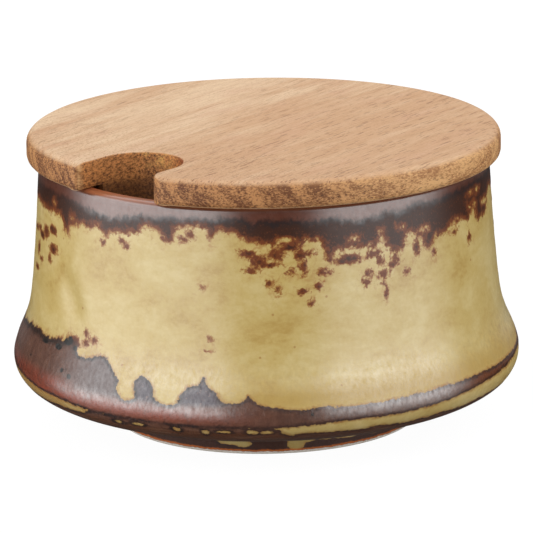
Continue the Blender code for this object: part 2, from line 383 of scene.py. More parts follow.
def bowl_attributes(degrees, down, height):
    """The numbers that the glaze's shader reads, one for each point of the mesh.

    covered, rim_zone and drops are mm inside the dark glaze, the rim's brown and the drops. Each
    _part is a share from 0 to 1, and says on which side of the bowl a colour shows."""
    rng = np.random.default_rng(23)
    back_blobs = [(rng.uniform(BACK_START, BACK_END - 4), rng.uniform(10, 22),
                   rng.uniform(0.4, 1.9), rng.uniform(0.3, 1.0)) for _ in range(46)]
    back_blobs = [(a, 9.5 + (s - 10) * rng.uniform(0, 1), w, h) for a, s, w, h in back_blobs]
    back_holes = [(rng.uniform(BACK_START, BACK_END - 4), rng.uniform(6, 9.5),
                   rng.uniform(0.5, 1.4), rng.uniform(0.3, 0.7)) for _ in range(14)]
    # Round the back, each line wanders about a level by a swing, with a spacing between its bends
    u = degrees * MM_PER_DEGREE
    upper = closed_line(UPPER_EDGE, rng, 9.4, 2.1, 2.4)
    rim = closed_line(RIM_LINE, rng, 3.9, 0.7, 4.0)
    lower = closed_line(LOWER_EDGE, rng, 40.0, 3.2, 4.6)
    stripe_top = closed_line(STRIPE_TOP, rng, 46.6, 0.6, 9.0)
    stripe_bottom = closed_line(STRIPE_BOTTOM, rng, 51.0, 0.7, 7.0)

    into_upper = -under(u, down, upper)
    into_stripe = np.minimum(under(u, down, stripe_top), -under(u, down, stripe_bottom))
    back_blobs, back_holes = wrapped(back_blobs), wrapped(back_holes)
    covered = np.maximum(into_upper, spots(u, down, BLOBS + back_blobs) + 0.1)
    covered = np.maximum(covered, under(u, down, lower))
    covered = np.minimum(covered, -into_stripe)
    covered = np.minimum(covered, -spots(u, down, HOLES + back_holes))
    on_foot = (down > 50) & (height < 5.6)
    covered = np.where(on_foot, -spots(u, height, FOOT_PATCHES), covered)
    return {
        "covered": np.clip(covered, -FAR, FAR),
        "rim_zone": np.clip(-under(u, down, rim), -FAR, FAR),
        "drops": np.clip(spots(u, down, DROPS), -3, 3),
        "down": down,
        "red_part": np.maximum(between(degrees, -165, -120, 14, 46),
                               between(degrees, 125, 140, 150, 172)),
        "left_part": between(degrees, -150, -110, -16, -4),
        "grey_part": np.maximum(between(degrees, -16, 0, 0, 36),
                                between(degrees, -140, -125, -110, -95)),
        "blue_part": between(degrees, 7, 12, 28, 33),
        "rust_part": np.maximum(between(degrees, 84, 98, 128, 150),
                                between(degrees, -120, -100, -66, -50)),
        "deep_part": np.maximum(smooth(25, 45, degrees), smooth(-60, -90, degrees)),
    }


def build_bowl():
    line, down, slots = bowl_rows()
    degrees = -180 + 360 * np.arange(COLUMNS) / COLUMNS
    deg_grid, down_grid = np.meshgrid(degrees, down)
    height_grid = np.broadcast_to(line[:, 1][:, None], deg_grid.shape)
    values = bowl_attributes(deg_grid, down_grid, height_grid)
    inward = relief(deg_grid, down_grid, values["covered"])

    steps = np.gradient(line, axis=0)
    normals = np.stack([steps[:, 1], -steps[:, 0]], -1)
    normals /= np.linalg.norm(normals, axis=1)[:, None]
    radius = line[:, 0][:, None] + normals[:, 0][:, None] * inward
    height = line[:, 1][:, None] + normals[:, 1][:, None] * inward
    xy = radius[..., None] * towards(deg_grid)
    body = Surface()
    loops = [body.add(*row) for row in zip(xy, height)]
    body.quads(loops, flipped=True)
    body.fan(body.add([(0, 0)], INNER_KNOTS[-1][1]), loops[0], flipped=True)
    body.fan(body.add([(0, 0)], RECESS), loops[-1])
    mesh = body.mesh("bowl_body")
    mesh.polygons.foreach_set("material_index", np.concatenate([
        np.repeat(slots[:-1], COLUMNS), np.full(COLUMNS, INSIDE),
        np.full(COLUMNS, CLAY)]).astype(np.int32))
    for name, value in values.items():
        add_attribute(mesh, name, np.concatenate([value.ravel(), [FAR_INSIDE, FAR_DOWN]]))
    for material in (outside_glaze(), inside_glaze(), bare_clay()):
        mesh.materials.append(material)
    bowl = new_object("glazed_bowl", mesh)
    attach(bowl, "bowl")
    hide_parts("bowl")


# ---- the lid
def notch_corner(rounding):
    """Centre of the arc that rounds the notch's +X wall into the lid's edge, and its end angle."""
    across = NOTCH_RADIUS + rounding
    centre = np.array([across, -math.sqrt((LID_RADIUS - rounding) ** 2 - across ** 2)])
    return centre, math.degrees(math.atan2(centre[1], centre[0])) + 360


def rounded(centre, radius, start, end, steps):
    """Points on an arc, with the direction to its centre: (x, y, inward x, inward y)."""
    points = arc(centre, radius, start, end, steps)
    return np.hstack([points, (centre - points) / radius])


def lid_rim_outline():
    """The notch's right mouth corner, once round the lid, and the left corner, with directions."""
    right, leaving = notch_corner(NOTCH_CORNER_RIGHT)
    left, arriving = notch_corner(NOTCH_CORNER_LEFT)
    arriving = 540 - arriving  # the left corner is mirrored
    return np.vstack([
        rounded(right, NOTCH_CORNER_RIGHT, 180, leaving, 12)[:-1],
        rounded((0, 0), LID_RADIUS, leaving - 360, arriving, LID_STEPS)[:-1],
        rounded((-left[0], left[1]), NOTCH_CORNER_LEFT, arriving, 360, 8)])


def notch_outline(rim):
    """The left notch wall outside the plug, the round end, and the right wall, with directions."""
    plug_corner = -math.sqrt(PLUG_RADIUS ** 2 - NOTCH_RADIUS ** 2)
    left_wall = np.linspace(rim[-1][1], plug_corner, WALL_STEPS + 1)[1:]
    right_wall = np.linspace(rim[0][1], plug_corner, WALL_STEPS + 1)[1:]
    end = rounded((0, -NOTCH_CENTRE), NOTCH_RADIUS, 180, 0, ROUND_STEPS)
    end[:, 2:] *= -1           # the wood lies outside this arc
    return np.vstack([[(-NOTCH_RADIUS, y, -1, 0) for y in left_wall], end,
                      [(NOTCH_RADIUS, y, 1, 0) for y in right_wall[::-1]]])


def to_middle(points, headings, height):
    """Loops from an outline in to a circle round the lid's axis, and on towards its middle."""
    unit = towards(headings)
    loops = []
    for share in (0.012, 0.024, 0.04, 0.06, 0.085, 0.13, 0.2, 0.32, 0.48, 0.66, 0.83, 1.0):
        loops.append((points * (1 - share) + MIDDLE_CIRCLE * unit * share, height))
    for share in (0.82, 0.64, 0.46, 0.28, 0.12):
        loops.append((MIDDLE_CIRCLE * unit * share, height))
    return loops


def spread_headings(points, notch_from):
    """Headings on the middle circle for an outline whose notch starts at index notch_from.

    The points before it spread by their distance along the rim, up to the corners' headings,
    and the notch's points share what is left of the circle."""
    travelled = lengths(points[:notch_from])
    on_rim = CORNER_HEADING + (360 - 2 * CORNER_HEADING) * travelled / travelled[-1]
    count = len(points) - notch_from
    walls = (count - ROUND_STEPS - 1) // 2
    left_wall = np.linspace(360 - CORNER_HEADING, 360 - ROUND_HEADING, walls + 2)[1:-1]
    end = np.linspace(360 - ROUND_HEADING, 360 + ROUND_HEADING, ROUND_STEPS + 1)
    right_wall = np.linspace(360 + ROUND_HEADING, 360 + CORNER_HEADING, walls + 2)[1:-1]
    return np.concatenate([on_rim, left_wall, end, right_wall])


def quarter(share):
    """Height lost by an edge rounding of width 1, at a share of its width from the edge."""
    return 1 - np.sqrt(1 - (1 - share) ** 2)


def edge_drop(xy, width):
    """Height that the rounding of the lid's outer edge takes off at a point."""
    inside = LID_RADIUS - np.hypot(xy[:, 0], xy[:, 1])
    return width * quarter(np.clip(inside / width, 0, 1))


def plug_circle(radius, half_notch, travelled):
    """The plug's side seen from above, from the right notch wall round to the left one."""
    corner = math.degrees(math.asin(half_notch / radius[0]))
    headings = np.interp(travelled, [0, travelled[-1]], [corner, 360 - corner])
    return radius[:, None] * towards(headings)


def round_end(radius):
    """The notch's round end, from its left wall to its right one."""
    return arc((0, -NOTCH_CENTRE), radius, 180, 0, ROUND_STEPS)


def disc_loops(outline, inward, travelled):
    """Loops of (points, heights) from the middle of the top over the edge to the underside.

    The outline starts with the rim's points, and travelled is how far along the rim each lies."""
    total, count = len(outline), len(travelled)
    no_rim = np.zeros(total - count)
    # The first loops lie close together near the notch, and spread over the rim's wide rounding
    from_right = smooth(5.0, 12.0, travelled)
    from_left = smooth(1.6, 6.0, travelled[-1] - travelled)
    on_rim = np.concatenate([np.minimum(from_right, from_left), no_rim])
    reach = NOTCH_EDGE + (LID_TOP_EDGE - NOTCH_EDGE) * on_rim
    growth = np.concatenate([smooth(0.0, 6.0, travelled) * RIM_EDGE_GROWTH, no_rim])
    own_edge = NOTCH_EDGE + growth

    first_loop = outline + inward * reach[:, None]
    middle = to_middle(first_loop, spread_headings(outline, count), LID_TOP)
    loops = [(xy, LID_TOP - edge_drop(xy, LID_TOP_EDGE)) for xy, _ in middle[::-1]]
    for share in (1.0, 0.8, 0.6, 0.42, 0.26, 0.13, 0.04, 0.0):
        xy = outline + inward * (reach * share)[:, None]
        own = own_edge * quarter(np.clip(reach * share / own_edge, 0, 1))
        loops.append((xy, LID_TOP - np.maximum(edge_drop(xy, LID_TOP_EDGE), own)))

    wall_top = loops[-1][1]
    wall_bottom = SEAT + np.maximum(edge_drop(outline, LID_BOTTOM_EDGE), CHAMFER_HEIGHT)
    wall = [(outline.copy(), wall_top + (wall_bottom - wall_top) * share)
            for share in (0.25, 0.5, 0.75, 1.0)]
    low_reach = CHAMFER_WIDTH + (LID_BOTTOM_EDGE - CHAMFER_WIDTH) * on_rim
    for share in (0.15, 0.4, 0.7, 1.0):
        xy = outline + inward * (low_reach * share)[:, None]
        own = CHAMFER_HEIGHT * quarter(share)
        wall.append((xy, SEAT + np.maximum(edge_drop(xy, LID_BOTTOM_EDGE), own)))

    # The notch wall inside the plug's radius runs straight on down, so it has no lower edge
    inner = slice(count + WALL_STEPS - 1, total - WALL_STEPS + 1)
    for i, (xy, height) in enumerate(wall, 1):
        xy[inner] = outline[inner]
        height[inner] = SEAT + (wall_top[inner] - SEAT) * (1 - i / len(wall))
    wall[-1][1][:] = SEAT
    return loops + wall


def underside_rows(wood, base, rim_base, travelled):
    """Rows of points on the disc's underside, from the rim to the plug, between the notch walls.

    base has the numbers of the disc's last loop, and rim_base the places of those on the rim."""
    count = len(travelled)
    right_column = base[:-WALL_STEPS - 1:-1]
    left_column = base[count:count + WALL_STEPS]
    radius = np.full(count, PLUG_RADIUS)
    beside_plug = plug_circle(radius, NOTCH_RADIUS + CHAMFER_WIDTH, travelled)
    rows = [base[:count]]
    for number, (right, left) in enumerate(zip(right_column, left_column), 1):
        share = number / WALL_STEPS
        inner = plug_circle(radius, NOTCH_RADIUS, travelled) if share == 1 else beside_plug
        row = rim_base * (1 - share) + inner * share
        rows.append(np.concatenate([[right], wood.add(row[1:-1], SEAT), [left]]))
    return rows


def plug_loops(travelled):
    """Loops of (points, heights) down the plug's side, round its edge and in to its middle."""
    side = plug_circle(np.full(len(travelled), PLUG_RADIUS), NOTCH_RADIUS, travelled)
    end = round_end(NOTCH_RADIUS)
    outline = np.vstack([side, end])
    from_corner = np.minimum(travelled, travelled[-1] - travelled)
    side_edge = NOTCH_EDGE + (PLUG_EDGE - NOTCH_EDGE) * smooth(0, 4, from_corner)
    edge = np.concatenate([side_edge, np.full(len(end), NOTCH_EDGE)])
    loops = [(outline, SEAT - (PLUG_DEPTH - edge) * share) for share in (0.25, 0.5, 0.75, 1.0)]
    bottom = SEAT - PLUG_DEPTH
    for share in (0.15, 0.4, 0.7, 1.0):
        half_notch = NOTCH_RADIUS + NOTCH_EDGE * share
        side = plug_circle(PLUG_RADIUS - side_edge * share, half_notch, travelled)
        loops.append((np.vstack([side, round_end(half_notch)]), bottom + edge * quarter(share)))
    headings = spread_headings(outline, len(travelled))
    return loops + to_middle(loops[-1][0], headings, bottom)


def lid_mesh():
    """The disc and its plug. Each of the disc's loops runs round the rim and on along the notch."""
    rim = lid_rim_outline()
    travelled = lengths(rim[:, :2])
    outline, inward = np.hsplit(np.vstack([rim, notch_outline(rim)]), 2)
    disc = disc_loops(outline, inward, travelled)
    wood = Surface()
    loops = [wood.add(*loop) for loop in disc]
    wood.quads(loops)
    top_centre = wood.add([(0, 0)], LID_TOP)

    base = loops[-1]
    rows = underside_rows(wood, base, disc[-1][0][:len(rim)], travelled)
    wood.quads(rows, closed=False)
    plug_start = np.concatenate([rows[-1], base[len(rim) + WALL_STEPS:-WALL_STEPS]])
    plug = [plug_start] + [wood.add(*loop) for loop in plug_loops(travelled)]
    wood.quads(plug)
    wood.fan(top_centre, loops[0])
    wood.fan(wood.add([(0, 0)], SEAT - PLUG_DEPTH), plug[-1], flipped=True)
    return wood.mesh("lid_wood")


def build_lid():
    mesh = lid_mesh()
    mesh.set_sharp_from_angle(angle=SHARP_ANGLE)
    normals = point_vectors(mesh, "normal")
    x, y, _ = point_vectors(mesh, "co").T / MM
    lean = math.radians(GRAIN_LEAN)
    along_grain = normals @ np.array([-math.sin(lean), math.cos(lean), 0.0])
    # The notch's walls, without the corners of its mouth
    in_notch = (np.abs(x) < NOTCH_RADIUS + 0.3) & (y < NOTCH_RADIUS - NOTCH_CENTRE + 0.5)
    in_notch &= np.hypot(x, y) < LID_RADIUS - 2.5
    add_attribute(mesh, "end_grain", np.abs(along_grain))
    add_attribute(mesh, "flat", np.abs(normals[:, 2]))
    add_attribute(mesh, "in_notch", in_notch.astype(float))
    mesh.materials.append(teak())
    lid = new_object("teak_lid", mesh)
    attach(lid, "lid")
    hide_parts("lid")


# ---- meshes
class Surface:
    """A mesh that is gathered loop by loop. Points are known by their numbers."""

    def __init__(self):
        self.points, self.faces, self.count = [], [], 0

    def add(self, xy, height):
        """Adds points in mm, at one height or at one each, and returns their numbers."""
        self.points.append(np.column_stack([xy, np.broadcast_to(height, len(xy))]))
        self.count += len(xy)
        return np.arange(self.count - len(xy), self.count)

    def quads(self, rows, closed=True, flipped=False):
        """Faces between rows of points, each row closed to a loop or not."""
        rows = np.array(rows)
        if closed:
            rows = np.column_stack([rows, rows[:, 0]])
        corners = [rows[:-1, :-1], rows[1:, :-1], rows[1:, 1:], rows[:-1, 1:]]
        if flipped:
            corners = [corners[0], *corners[:0:-1]]
        self.faces.append(np.stack(corners, -1).reshape(-1, 4))

    def fan(self, centre, loop, flipped=False):
        """Triangles from one point to a loop round it."""
        first, second = loop, np.roll(loop, -1)
        if flipped:
            first, second = second, first
        self.faces.append(np.stack([np.repeat(centre, len(loop)), first, second], -1))

    def mesh(self, name):
        """The whole as a smooth-shaded mesh."""
        mesh = bpy.data.meshes.new(name)
        corners = np.concatenate([group.ravel() for group in self.faces]).astype(np.int32)
        totals = np.concatenate([np.full(len(g), g.shape[1]) for g in self.faces])
        starts = np.concatenate([[0], np.cumsum(totals)[:-1]]).astype(np.int32)
        mesh.vertices.add(self.count)
        points = np.vstack(self.points) * MM
        mesh.vertices.foreach_set("co", points.astype(np.float32).ravel())
        mesh.loops.add(len(corners))
        mesh.loops.foreach_set("vertex_index", corners)
        mesh.polygons.add(len(totals))
        mesh.polygons.foreach_set("loop_start", starts)
        mesh.update(calc_edges=True)
        mesh.validate()
        mesh.shade_smooth()
        return mesh


def add_attribute(mesh, name, values):
    attribute = mesh.attributes.new(name, "FLOAT", "POINT")
    attribute.data.foreach_set("value", np.asarray(values, np.float32))


def point_vectors(mesh, name):
    """The place or the normal of each of a mesh's points."""
    values = np.empty(len(mesh.vertices) * 3, np.float32)
    mesh.vertices.foreach_get(name, values)
    return values.reshape(-1, 3)


def new_object(name, data):
    obj = bpy.data.objects.new(name, data)
    bpy.context.scene.collection.objects.link(obj)
    return obj


# ---- shader building
class Nodes:
    """Short names for the nodes of one tree."""

    def __init__(self, tree):
        self.tree = tree

    def new(self, kind, **settings):
        node = self.tree.nodes.new("ShaderNode" + kind)
        for name, value in settings.items():
            setattr(node, name, value)
        return node

    def plug(self, value, socket):
        """Links another node's output to the socket, or sets its value."""
        if isinstance(value, bpy.types.NodeSocket):
            self.tree.links.new(value, socket)
        elif isinstance(value, (int, float)):
            socket.default_value = value
        else:
            socket.default_value = (*value, 1.0) if len(socket.default_value) == 4 else value

    def fill(self, node, **values):
        """Plugs each value into the node's socket of that name: from_min is "From Min"."""
        for name, value in values.items():
            title = name.replace("_", " ").title().replace("Ior", "IOR")
            self.plug(value, node.inputs[title])

    def math(self, operation, a, b=0.0, clamp=False):
        node = self.new("Math", operation=operation, use_clamp=clamp)
        self.plug(a, node.inputs[0])
        self.plug(b, node.inputs[1])
        return node.outputs[0]

    def total(self, *values):
        return reduce(partial(self.math, "ADD"), values)

    def times(self, *values):
        return reduce(partial(self.math, "MULTIPLY"), values)

    def step(self, start, end, value):
        """A smooth step of value: 0 on the start's side and 1 on the end's, either way round."""
        node = self.new("MapRange", interpolation_type="SMOOTHSTEP")
        self.fill(node, value=value, from_min=min(start, end), from_max=max(start, end),
                  to_min=float(end < start), to_max=float(start < end))
        return node.outputs["Result"]

    def hump(self, value, low, top, high):
        """0 at low, 1 at top and 0 again at high."""
        return self.times(self.step(low, top, value), self.step(high, top, value))

    def blend(self, share, a, b):
        """Between two numbers."""
        node = self.new("Mix")
        self.plug(share, node.inputs[0])
        self.plug(a, node.inputs[2])
        self.plug(b, node.inputs[3])
        return node.outputs[0]

    def mix(self, share, a, b):
        """Between two colours."""
        node = self.new("Mix", data_type="RGBA")
        self.plug(share, node.inputs[0])
        self.plug(a, node.inputs[6])
        self.plug(b, node.inputs[7])
        return node.outputs[2]

    def layered(self, colour, *layers):
        """A colour with others laid over it in turn, each as (share, colour)."""
        for share, over in layers:
            colour = self.mix(share, colour, over)
        return colour


class Shader(Nodes):
    """The nodes of one material."""

    def __init__(self, name):
        self.material = bpy.data.materials.new(name)
        self.material.use_nodes = True
        super().__init__(self.material.node_tree)
        self.principled = self.tree.nodes["Principled BSDF"]
        self.place = self.new("TexCoord").outputs["Object"]

    def attribute(self, name):
        return self.new("Attribute", attribute_name=name).outputs["Fac"]

    def scaled(self, size, stretch=(1, 1, 1), turn=(0, 0, 0), shift=(0, 0, 0)):
        """Coordinates that count in lumps of size mm, stretched on each axis, turned and shifted."""
        units = [MM * size * s for s in stretch]
        node = self.new("Mapping", vector_type="TEXTURE")
        self.fill(node, vector=self.place, rotation=turn, scale=units,
                  location=[-s * unit for s, unit in zip(shift, units)])
        return node.outputs["Vector"]

    def axes(self):
        """X, Y and the height above the foot, in mm."""
        node = self.new("SeparateXYZ")
        self.fill(node, vector=self.scaled(1))
        return node.outputs

    def noise(self, size, detail=3.0, rough=0.55, distortion=0.0, **placing):
        """Noise about 0, from -0.5 to 0.5, with lumps of about size mm."""
        node = self.new("TexNoise")
        self.fill(node, vector=self.scaled(size, **placing), scale=1.0, detail=detail,
                  roughness=rough, distortion=distortion)
        return self.math("SUBTRACT", node.outputs["Fac"], 0.5)

    def cells(self, size, **placing):
        """Distance to the nearest of many scattered points, in cells of about size mm."""
        node = self.new("TexVoronoi")
        self.fill(node, vector=self.scaled(size, **placing), scale=1.0)
        return node.outputs["Distance"]

    def bumped(self, height, strength, distance_mm):
        """Gives the surface fine relief."""
        node = self.new("Bump")
        self.fill(node, height=height, strength=strength, distance=distance_mm * MM)
        self.fill(self.principled, normal=node.outputs["Normal"])

    def finished(self, **values):
        """The material, with these values in the shader's own sockets."""
        self.fill(self.principled, **values)
        return self.material


def srgb(red, green, blue):
    """A colour as it looks on a screen, from 0 to 255, in Blender's linear numbers."""
    return tuple((c / 255 / 12.92) if c <= 10.31 else ((c / 255 + 0.055) / 1.055) ** 2.4
                 for c in (red, green, blue))


OCHRE = srgb(191, 165, 99)
OCHRE_PALE = srgb(203, 182, 124)
OCHRE_DEEP = srgb(175, 143, 74)
AMBER = srgb(150, 94, 34)
RUST = srgb(112, 56, 22)
COFFEE = srgb(58, 29, 14)
RIM_BROWN = srgb(98, 52, 34)
BAND_BROWN = srgb(88, 55, 42)
BAND_RED = srgb(134, 62, 40)
# under the belly: brown glaze lightened by painted sheen
UNDER_BROWN_AND_SHEEN = srgb(98, 57, 33)


def ochre_glaze(s, down, covered, low, on_foot, part):
    """Slow clouds, turning streaks and fine flecks, stained brown close to the dark glaze."""
    clouds = s.noise(13, 4.0, 0.6, stretch=(1, 1, 0.75), distortion=0.5)
    streaks = s.noise(3.0, 3.0, 0.6, stretch=(1, 1, 0.5), shift=(31, 7, 5))
    flecks = s.noise(0.8, 3.0, 0.7, shift=(3, 11, 9))
    tone = s.total(s.times(clouds, 1.9), s.times(streaks, 0.8), s.times(flecks, 0.55), 0.5)
    specks = s.step(0.06, 0.035, s.cells(6.5, shift=(2, 5, 1)))
    stain = s.noise(2.0, 3.0, 0.65, shift=(13, 2, 7), distortion=1.0)
    near_dark = s.times(s.step(-3.5, 0.0, covered), s.step(0.02, 0.22, stain))
    return s.layered(
        OCHRE,
        (s.step(0.35, 1.05, tone), OCHRE_PALE),
        (s.step(0.5, -0.1, tone), OCHRE_DEEP),
        (s.times(s.hump(down, 37, 42.6, 45.5), part["deep"], 0.75), OCHRE_DEEP),
        (s.times(specks, 0.6), AMBER),
        (s.times(near_dark, s.blend(low, 0.75, 0.25)), srgb(166, 118, 58)),
        (s.times(on_foot, 0.55), srgb(136, 112, 50)),
        (s.times(part["left"], s.step(45, 47, down), 0.7), srgb(158, 114, 54)))


def upper_glaze(s, edge, jagged, patchy, part):
    """Amber and rust where it is thin, coffee where it is thick, and the lustrous brown rim.

    A blue-black line with teeth runs under the rim's brown."""
    mottle = s.noise(1.1, 4.0, 0.7, shift=(17, 2, 8))
    depth = s.total(edge, s.times(mottle, 2.2))
    grains = s.noise(0.45, 2.0, 0.6, shift=(4, 14, 2))
    rusty = s.times(s.step(0.10, 0.26, mottle), s.step(4.5, 0.5, edge), 0.75)
    rim = s.mix(s.step(-0.2, 0.25, s.noise(1.9, 4.0, 0.65, shift=(9, 1, 4))), RIM_BROWN,
                srgb(108, 64, 50))
    jag_line = s.times(s.hump(jagged, -1.9, 0.0, 1.2), s.blend(patchy, 0.3, 0.9),
                       s.blend(part["left"], 1.0, 0.35))
    blue_specks = s.times(s.step(0.14, 0.24, s.noise(0.9, 2.0, 0.6, shift=(6, 6, 2))),
                          s.step(2.6, 0.2, jagged), 0.6, s.step(-0.1, 0.3, jagged))
    return s.layered(
        srgb(142, 86, 36),
        (s.step(-0.35, 0.25, depth), RUST),
        (s.step(0.3, 1.7, depth), COFFEE),
        (s.times(s.step(0.06, 0.22, grains), 0.45), RUST),
        (rusty, srgb(126, 70, 36)),
        (jag_line, srgb(36, 29, 31)),
        (s.step(-0.3, 1.3, jagged), rim),
        (blue_specks, srgb(40, 36, 42)))


def lower_glaze(s, down, edge, fine, patchy, on_foot, part):
    """Brown, with red, rust, grey and blue where each has its part, and a dark outline. Under the
    belly the brown is lightened, with lighter streaks along the turning marks, as painted sheen.
    """
    reddish = s.math("MAXIMUM", s.times(s.hump(down, 43.4, 46.4, 49.5), part["red"]),
                     s.times(s.hump(down, 42, 45, 49.5), part["left"]))
    cloudy = s.noise(2.0, 4.0, 0.7, stretch=(1, 1, 1.7), shift=(4, 4, 17))
    blue_drip = s.times(part["blue"], s.step(44.6, 43.2, down))
    turning = s.noise(0.5, 3.0, 0.6, stretch=(16, 16, 1), shift=(1, 2, 3))
    outline = s.times(s.hump(edge, -0.3, 0.25, 1.1), s.blend(patchy, 0.7, 1.0))
    outline_colour = s.layered(srgb(64, 40, 32), (part["red"], srgb(32, 24, 26)),
                               (part["rust"], srgb(56, 28, 14)))
    return s.layered(
        BAND_BROWN,
        (s.step(-0.25, 0.3, cloudy), srgb(108, 74, 58)),
        (s.times(part["grey"], s.step(45.2, 43.6, down), 0.8), srgb(92, 80, 80)),
        (s.times(blue_drip, 0.8), srgb(66, 62, 74)),
        (s.times(blue_drip, s.step(0.08, 0.2, fine), 0.8), srgb(128, 104, 96)),
        (s.times(reddish, s.step(-0.35, 0.05, cloudy)), BAND_RED),
        (s.times(part["rust"], 0.85), srgb(112, 60, 30)),
        # painted reflection: under the belly the brown is lifted, and lighter streaks follow the
        # turning marks, as the floor's sheen
        (s.step(49.4, 51.4, down), UNDER_BROWN_AND_SHEEN),
        (s.times(s.step(48.0, 49.5, down), s.step(0.0, 0.2, turning), 0.7), srgb(122, 88, 68)),
        (on_foot, srgb(58, 28, 14)),
        (outline, outline_colour))


def glaze_gloss(s, down, low, shown, jagged, on_foot, part):
    """The clear coat and the roughness, with a lustre at the rim and on the lower band's roll."""
    roll = s.hump(down, 42.6, 45.0, 48.4)
    lustre = s.math("MAXIMUM", s.times(s.step(-1.3, 1.3, jagged), s.step(32, 28, down)),
                    s.times(low, s.blend(roll, 0.5, 1.0)))
    lustre = s.times(lustre, s.step(50.5, 48.5, down))
    ochre_coat = s.total(0.36, s.times(s.hump(down, 29, 38, 44.5), 0.34))
    coat = s.blend(shown, ochre_coat, s.blend(lustre, 0.10, 0.79))
    coat = s.total(coat, s.times(low, shown, roll, s.blend(part["rust"], 0.28, -0.2)))
    coat = s.total(coat, s.times(s.step(45.2, 46.8, down), part["red"], shown, -0.28))
    sparkle = s.noise(0.9, 4.0, 0.7, stretch=(1, 1, 1.8), shift=(1, 1, 5))
    coat = s.times(coat, s.total(1.0, s.times(sparkle, s.blend(low, 1.0, 3.2))))
    coat = s.math("MAXIMUM", s.times(coat, s.blend(on_foot, 1.0, 0.15)), 0.0)
    roughness = s.blend(shown, 0.44, s.blend(lustre, 0.42, 0.32))
    roughness = s.total(roughness, s.times(s.noise(1.0, 2.0, shift=(8, 8, 1)), 0.2),
                        s.times(on_foot, 0.3))
    return coat, roughness


def outside_glaze():
    s = Shader("stoneware_glaze_outside")
    covered, rim_zone, drops, down = map(s.attribute, ("covered", "rim_zone", "drops", "down"))
    part = {name: s.attribute(name + "_part")
            for name in ("red", "left", "grey", "blue", "rust", "deep")}
    height = s.axes()[2]
    low = s.step(34.0, 37.0, down)
    on_foot = s.step(5.9, 5.2, height)

    # The edge of the dark glaze is ragged at several scales, and calmer low down
    coarse = s.noise(2.3, 2.0, shift=(2, 4, 6), distortion=0.6)
    fine = s.noise(0.75, 3.0, 0.65)
    medium = s.noise(1.3, 3.0, 0.6, shift=(19, 3, 12), distortion=1.0)
    ragged = s.total(s.times(coarse, 1.9), s.times(medium, 2.4), s.times(fine, 1.5))
    islands = s.blend(part["deep"], 1.0, 1.25)
    edge = s.total(covered, s.times(ragged, s.blend(low, islands, 0.45)))
    shown = s.step(-0.15, 0.15, s.times(edge, s.blend(low, 0.55, 1.0)))
    teeth = s.noise(1.2, 3.0, 0.6, shift=(5, 23, 3), stretch=(1, 1, 1.6))
    jagged = s.total(rim_zone, s.times(teeth, 2.6), s.times(medium, 1.6))
    patchy = s.step(-0.14, 0.16, s.noise(2.2, 3.0, 0.6, shift=(12, 5, 14)))

    thick_line = s.times(s.hump(edge, -0.3, 0.7, 2.4), part["left"],
                         s.hump(down, 33.0, 36.0, 39.0), 0.9)
    dark = s.layered(
        upper_glaze(s, edge, jagged, patchy, part),
        (low, lower_glaze(s, down, edge, fine, patchy, on_foot, part)),
        (thick_line, srgb(40, 25, 18)),
        (s.step(-0.15, 0.15, s.total(drops, s.times(fine, 0.8))), srgb(28, 24, 20)))
    fringe = s.times(s.hump(edge, -0.75, -0.08, 0.4),
                     s.blend(low, 0.85, s.blend(patchy, 0.35, 0.75)))
    # The glaze thins out to amber above the bare clay of the foot ring
    foot_edge = s.total(height, s.times(coarse, 0.5), s.times(fine, 0.4))
    colour = s.layered(
        ochre_glaze(s, down, covered, low, on_foot, part),
        (fringe, AMBER),
        (shown, dark),
        (s.step(1.5, 0.5, down), srgb(160, 92, 58)),
        (s.times(s.hump(foot_edge, 0.6, 0.85, 1.3), 0.85), srgb(186, 96, 30)),
        (s.step(0.75, 0.55, foot_edge), srgb(214, 204, 190)))

    coat, roughness = glaze_gloss(s, down, low, shown, jagged, on_foot, part)
    pits = s.noise(1.3, 3.0, 0.6, shift=(3, 3, 11))
    relief_height = s.total(s.times(s.noise(2.6, 3.0, 0.5, shift=(1, 9, 2)), 0.6),
                            s.times(s.noise(0.6, 3.0, 0.6), 0.22),
                            s.times(low, shown, pits, 3.2), s.times(shown, 0.3))
    s.bumped(relief_height, 0.5, 0.15)
    return s.finished(base_color=colour, roughness=roughness, ior=1.43,
                      coat_weight=coat, coat_ior=2.05, coat_roughness=0.2)


def inside_glaze():
    s = Shader("stoneware_glaze_inside")
    down = s.attribute("down")
    ragged = s.total(s.times(s.noise(4.0, 3.0), 5.0), s.times(s.noise(1.0, 3.0), 1.6))
    edge = s.total(down, ragged, 9.0)
    clouds = s.noise(9, 3.0, shift=(3, 3, 3))
    ochre = s.mix(s.step(-0.3, 0.3, clouds), OCHRE_DEEP, OCHRE)
    dark = s.mix(s.step(0.0, 2.0, edge), RUST, COFFEE)
    dark = s.mix(s.step(-4.6, -2.6, down), dark, srgb(160, 88, 50))
    colour = s.mix(s.step(-0.3, 0.3, edge), ochre, dark)
    colour = s.mix(s.times(s.hump(edge, -1.2, -0.2, 0.3), 0.8), colour, AMBER)
    s.bumped(s.noise(2.2, 3.0), 0.3, 0.12)
    return s.finished(base_color=colour, roughness=0.38, ior=1.55)


def bare_clay():
    s = Shader("stoneware_bare_clay")
    grain = s.noise(0.5, 4.0, 0.7)
    patches = s.noise(6.0, 3.0)
    colour = s.mix(s.step(-0.3, 0.3, grain), srgb(190, 180, 168), srgb(214, 206, 196))
    colour = s.mix(s.times(s.step(0.0, 0.3, patches), 0.4), colour, srgb(176, 150, 122))
    s.bumped(grain, 0.5, 0.15)
    return s.finished(base_color=colour, roughness=0.85)


